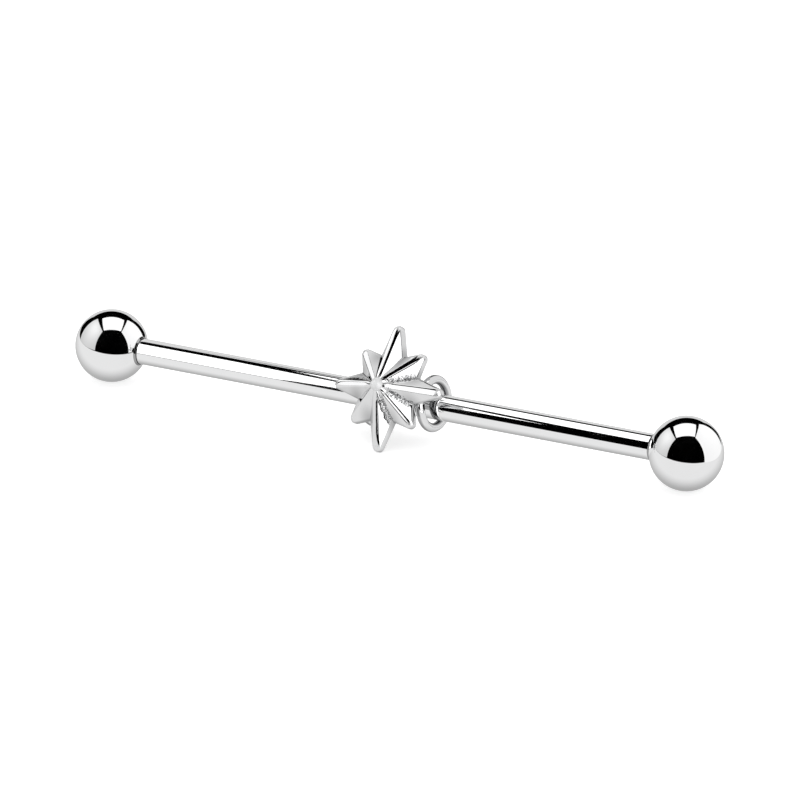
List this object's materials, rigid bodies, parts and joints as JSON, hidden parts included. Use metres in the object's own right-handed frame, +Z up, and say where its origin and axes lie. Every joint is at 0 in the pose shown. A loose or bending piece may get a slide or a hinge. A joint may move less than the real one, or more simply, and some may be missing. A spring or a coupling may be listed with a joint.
{
  "type": "industrial barbell",
  "caption": "Straight steel ear barbell with a screw-on ball at each end and a faceted star charm that turns on the bar on two back loops.",
  "frame": {"origin": "middle of the bar, on its axis; the surface that the barbell lies on is one ball radius, 2.25 mm, below it", "axes": "+X along the bar, +Z up, the star's face looks towards -Y and leans back"},
  "size_m": [0.044, 0.0058, 0.0068],
  "materials": {
    "polished_steel": "mirror polished surgical steel",
    "cast_steel": "cast and tumbled steel, bright on the facets and grainy in the notches"
  },
  "bodies": {
    "bar": {"bar": "polished_steel"},
    "left_end": {"ball_left": "polished_steel"},
    "right_end": {"ball_right": "polished_steel"},
    "star": {"star_charm": "cast_steel"}
  },
  "joints": [
    {"name": "star_swing", "type": "hinge", "parent": "bar", "child": "star", "pos_m": [0.0008, 0, 0], "axis": [-1, 0, 0], "continuous": true},
    {"name": "ball_left_off", "type": "slide", "parent": "bar", "child": "left_end", "axis": [-1, 0, 0], "range_m": [0, 0.008]},
    {"name": "ball_right_off", "type": "slide", "parent": "bar", "child": "right_end", "axis": [1, 0, 0], "range_m": [0, 0.008]}
  ]
}
